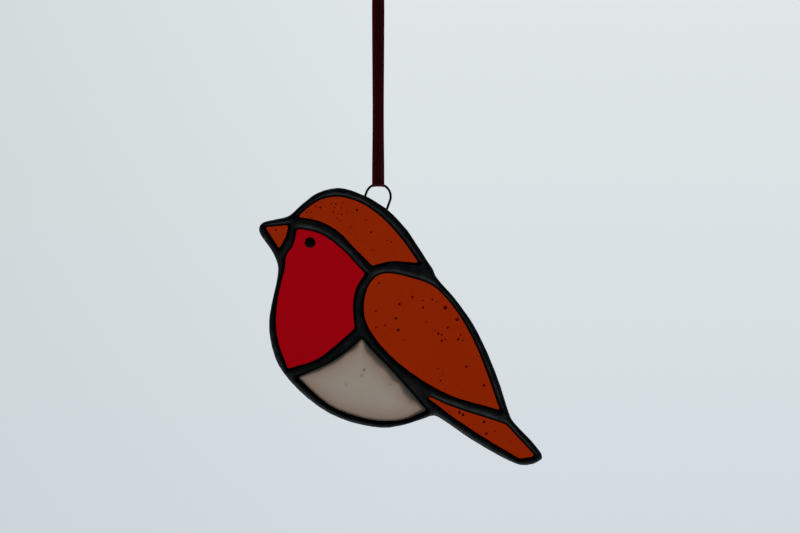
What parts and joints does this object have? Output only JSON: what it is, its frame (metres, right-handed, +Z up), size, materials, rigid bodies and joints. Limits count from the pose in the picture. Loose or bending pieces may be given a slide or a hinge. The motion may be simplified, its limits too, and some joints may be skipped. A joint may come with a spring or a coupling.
{
  "type": "suncatcher",
  "caption": "Stained-glass robin suncatcher of amber, red and white panes in black solder lines, hung by a wire loop on a knotted burgundy ribbon.",
  "frame": {"origin": "hang point, where a hook passes through the ribbon below its knot", "axes": "+Z up the plumb line; the bird hangs in the XZ plane with its front to -Y and its beak to -X"},
  "size_m": [0.1203, 0.0064, 0.2278],
  "materials": {
    "black_solder": "satin black patina",
    "amber_glass": "gloss",
    "red_glass": "gloss",
    "white_glass": "gloss",
    "black_enamel": "gloss",
    "black_wire": "satin black patina over tinned copper",
    "burgundy_ribbon": "satin"
  },
  "bodies": {
    "root": {"solder_lines": "black_solder", "beak_glass": "amber_glass", "crown_glass": "amber_glass", "breast_glass": "red_glass", "belly_glass": "white_glass", "wing_glass": "amber_glass", "tail_glass": "amber_glass", "eye_dot": "black_enamel", "hanging_loop": "black_wire", "ribbon": "burgundy_ribbon"}
  },
  "joints": []
}
